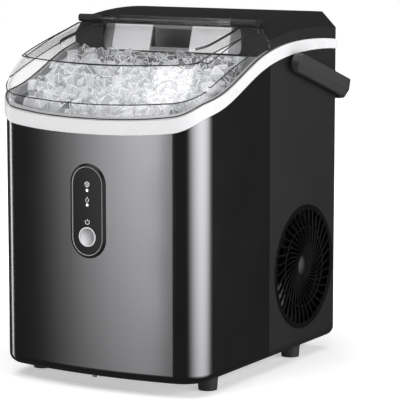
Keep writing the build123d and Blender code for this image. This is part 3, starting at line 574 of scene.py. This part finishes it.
def sharp_runs(node, angle):
    """The sharp edges of a CAD node, joined into runs of points."""
    bm = bmesh.new()
    bm.from_mesh(NODES[node].data)
    bmesh.ops.remove_doubles(bm, verts=bm.verts, dist=0.00002)
    keep = {e for e in bm.edges if len(e.link_faces) == 2 and e.calc_face_angle() > angle}
    touching = {}
    for e in keep:
        for v in e.verts:
            touching.setdefault(v, []).append(e)
    runs = []
    unused = set(keep)
    starts = sorted((v for v in touching if len(touching[v]) != 2), key=lambda v: v.index)
    order = [e for v in starts for e in touching[v]] + sorted(keep, key=lambda e: e.index)
    for first in order:
        if first not in unused:
            continue
        unused.discard(first)
        tail = next((v for v in first.verts if len(touching[v]) != 2), first.verts[0])
        head = first.other_vert(tail)
        run = [tail.co.copy(), head.co.copy()]
        while len(touching[head]) == 2:
            following = [e for e in touching[head] if e in unused]
            if not following:
                break
            unused.discard(following[0])
            head = following[0].other_vert(head)
            run.append(head.co.copy())
        runs.append(run)
    bm.free()
    return runs


def without_pad_front(run):
    """The run in pieces, without the low step at the front of the raised pad, lost in the glare."""
    pieces = [[]]
    for place in run:
        if place.y < PAD_FRONT_Y and abs(place.x) < PAD_HALF_X and place.z > PAD_STEP_Z:
            pieces.append([])
        else:
            pieces[-1].append(place)
    return [piece for piece in pieces if len(piece) > 1]


def on_front_corner(run):
    """True for the short fold between the front facet and a side facet, which looks rounded."""
    heights = [p.z for p in run]
    near = all(p.y < -0.095 and abs(p.x) > 0.08 for p in run)
    return near and max(heights) > 0.31 and min(heights) < 0.302


def is_inside(run, tree):
    """True for a fold of the lid's inner face: the lid's own wall lies outside it."""
    place = run[len(run) // 2]
    way = (place - Vector((0, -0.06, 0.25))).normalized()
    return tree.ray_cast(place + way * 0.0007, way)[0] is not None


def run_length(run):
    return sum((b - a).length for a, b in zip(run, run[1:]))


FOLD_X = 0.1045
FOLD_FRONT_Y = -0.1335
FOLD_ARC_R = FACE_ARC_R - 0.011
FOLD_CORNER_R = 0.022


def top_fold():
    """The fold round the lid's flat top: along one side, round the bowed front and back again."""
    corner_x = FOLD_X - FOLD_CORNER_R
    corner_y = FOLD_FRONT_Y + FOLD_ARC_R - math.sqrt((FOLD_ARC_R - FOLD_CORNER_R) ** 2 - corner_x**2)
    half = [(FOLD_X, -0.016), (FOLD_X, -0.04), (FOLD_X, -0.06), (FOLD_X, -0.08), (FOLD_X, corner_y)]
    turn = math.asin(corner_x / (FOLD_ARC_R - FOLD_CORNER_R))
    for step in range(1, 9):
        angle = math.pi / 2 - (math.pi / 2 - turn) * step / 8
        x = corner_x + FOLD_CORNER_R * math.sin(angle)
        half.append((x, corner_y - FOLD_CORNER_R * math.cos(angle)))
    for step in range(1, 13):
        angle = turn * (1 - step / 12)
        half.append((FOLD_ARC_R * math.sin(angle), FOLD_FRONT_Y + FOLD_ARC_R * (1 - math.cos(angle))))
    plan = half + [(-x, y) for x, y in reversed(half[:-1])]
    lid = NODES["lid"]
    tree = BVHTree.FromObject(lid, bpy.context.evaluated_depsgraph_get())
    run = []
    for x, y in plan:
        start = lid.matrix_world.inverted() @ Vector((x, y, 0.5))
        hit = tree.ray_cast(start, Vector((0, 0, -1)))[0]
        if hit:
            run.append(hit - Vector((0, 0, 0.0004)))
    return run


def lid_lines():
    """Dark lines where the clear lid's folds and rims bend the light."""
    data = bpy.data.curves.new("lid_fold_lines", "CURVE")
    data.dimensions = "3D"
    data.bevel_depth = FOLD_LINE
    data.bevel_resolution = 1
    tree = BVHTree.FromObject(NODES["lid"], bpy.context.evaluated_depsgraph_get())
    runs = []
    for run in sharp_runs("lid", FOLD_ANGLE):
        if not on_front_corner(run) and not is_inside(run, tree):
            runs.extend(piece for piece in without_pad_front(run) if run_length(piece) > SHORTEST_FOLD)
    for run in runs + [top_fold()]:
        spline = data.splines.new("POLY")
        spline.points.add(len(run) - 1)
        for point, place in zip(spline.points, run):
            point.co = (*place, 1)
    lines = bpy.data.objects.new("lid_fold_lines", data)
    bpy.context.scene.collection.objects.link(lines)
    lines.data.materials.append(surface("fold_shade", (0.012, 0.012, 0.013), 0.4))
    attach(lines, "lid_body")


# ---- panel print -------------------------------------------------------------------------------
PRINT_LINE = 0.00028
BEZEL_LINE = 0.0006


def panel_point(x, z):
    """A point on the face of the panel insert, whose face is bowed like the front."""
    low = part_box("panel_insert")[0]
    bow = FACE_ARC_R - math.sqrt(FACE_ARC_R**2 - x**2)
    return Vector((x, low.y - 0.00005 + bow, z))


def print_lines(name, strokes, line, material):
    data = bpy.data.curves.new(name, "CURVE")
    data.dimensions = "3D"
    data.bevel_depth = line
    data.bevel_resolution = 1
    for stroke, closed in strokes:
        spline = data.splines.new("POLY")
        spline.points.add(len(stroke) - 1)
        spline.use_cyclic_u = closed
        for point, (x, z) in zip(spline.points, stroke):
            point.co = (*panel_point(x, z), 1)
    drawn = bpy.data.objects.new(name, data)
    bpy.context.scene.collection.objects.link(drawn)
    drawn.data.materials.append(material)
    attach(drawn, "body")


def arc_points(x, z, r, start, stop, steps=14):
    angles = [math.radians(start + (stop - start) * i / steps) for i in range(steps + 1)]
    return [(x + r * math.sin(a), z + r * math.cos(a)) for a in angles]


def cube_sign(x, z, r):
    rim = [(x + r * math.sin(math.radians(a)), z + r * math.cos(math.radians(a))) for a in range(0, 360, 60)]
    spokes = [([(x, z), rim[i]], False) for i in (1, 3, 5)]
    return [(rim, True)] + spokes


def drop_sign(x, z, r):
    return [([(x, z + 1.9 * r)] + arc_points(x, z, r, 50, 310), True)]


def power_sign(x, z, r):
    return [(arc_points(x, z, r, 40, 320), False), ([(x, z + 0.35 * r), (x, z + 1.3 * r)], False)]


def panel_print():
    # the print is white and also glows a little: the glow is painted light
    white = glow("panel_print", (0.75, 0.75, 0.76), 0.15)
    full, water = box_middle("led_ice_full"), box_middle("led_add_water")
    strokes = cube_sign(0, full.z + 0.0057, 0.0026)
    strokes += drop_sign(0, water.z + 0.0045, 0.0017)
    strokes += power_sign(0, box_middle("power_button").z + 0.0145, 0.0023)
    print_lines("panel_signs", strokes, PRINT_LINE, white)


def bezel_line():
    """The bright thin line round the panel, along the bezel's inner edge: a painted highlight on that edge.
    """
    low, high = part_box("panel_insert")
    middle = (low + high) / 2
    r = high.x + BEZEL_LINE
    straight = (high.z - low.z) / 2 - high.x
    pill = arc_points(0, middle.z + straight, r, -90, 90) + arc_points(0, middle.z - straight, r, 90, 270)
    line = surface("bezel_line", (0.3, 0.3, 0.31), 0.3)
    print_lines("bezel_line", [(pill, True)], BEZEL_LINE, line)


add_camera()
add_world()
add_floor()
add_lights()
paint_nodes()
build_ice()
lid_lines()
panel_print()
bezel_line()

bpy.context.scene.view_settings.view_transform = "Standard"
bpy.context.scene.view_settings.look = "None"
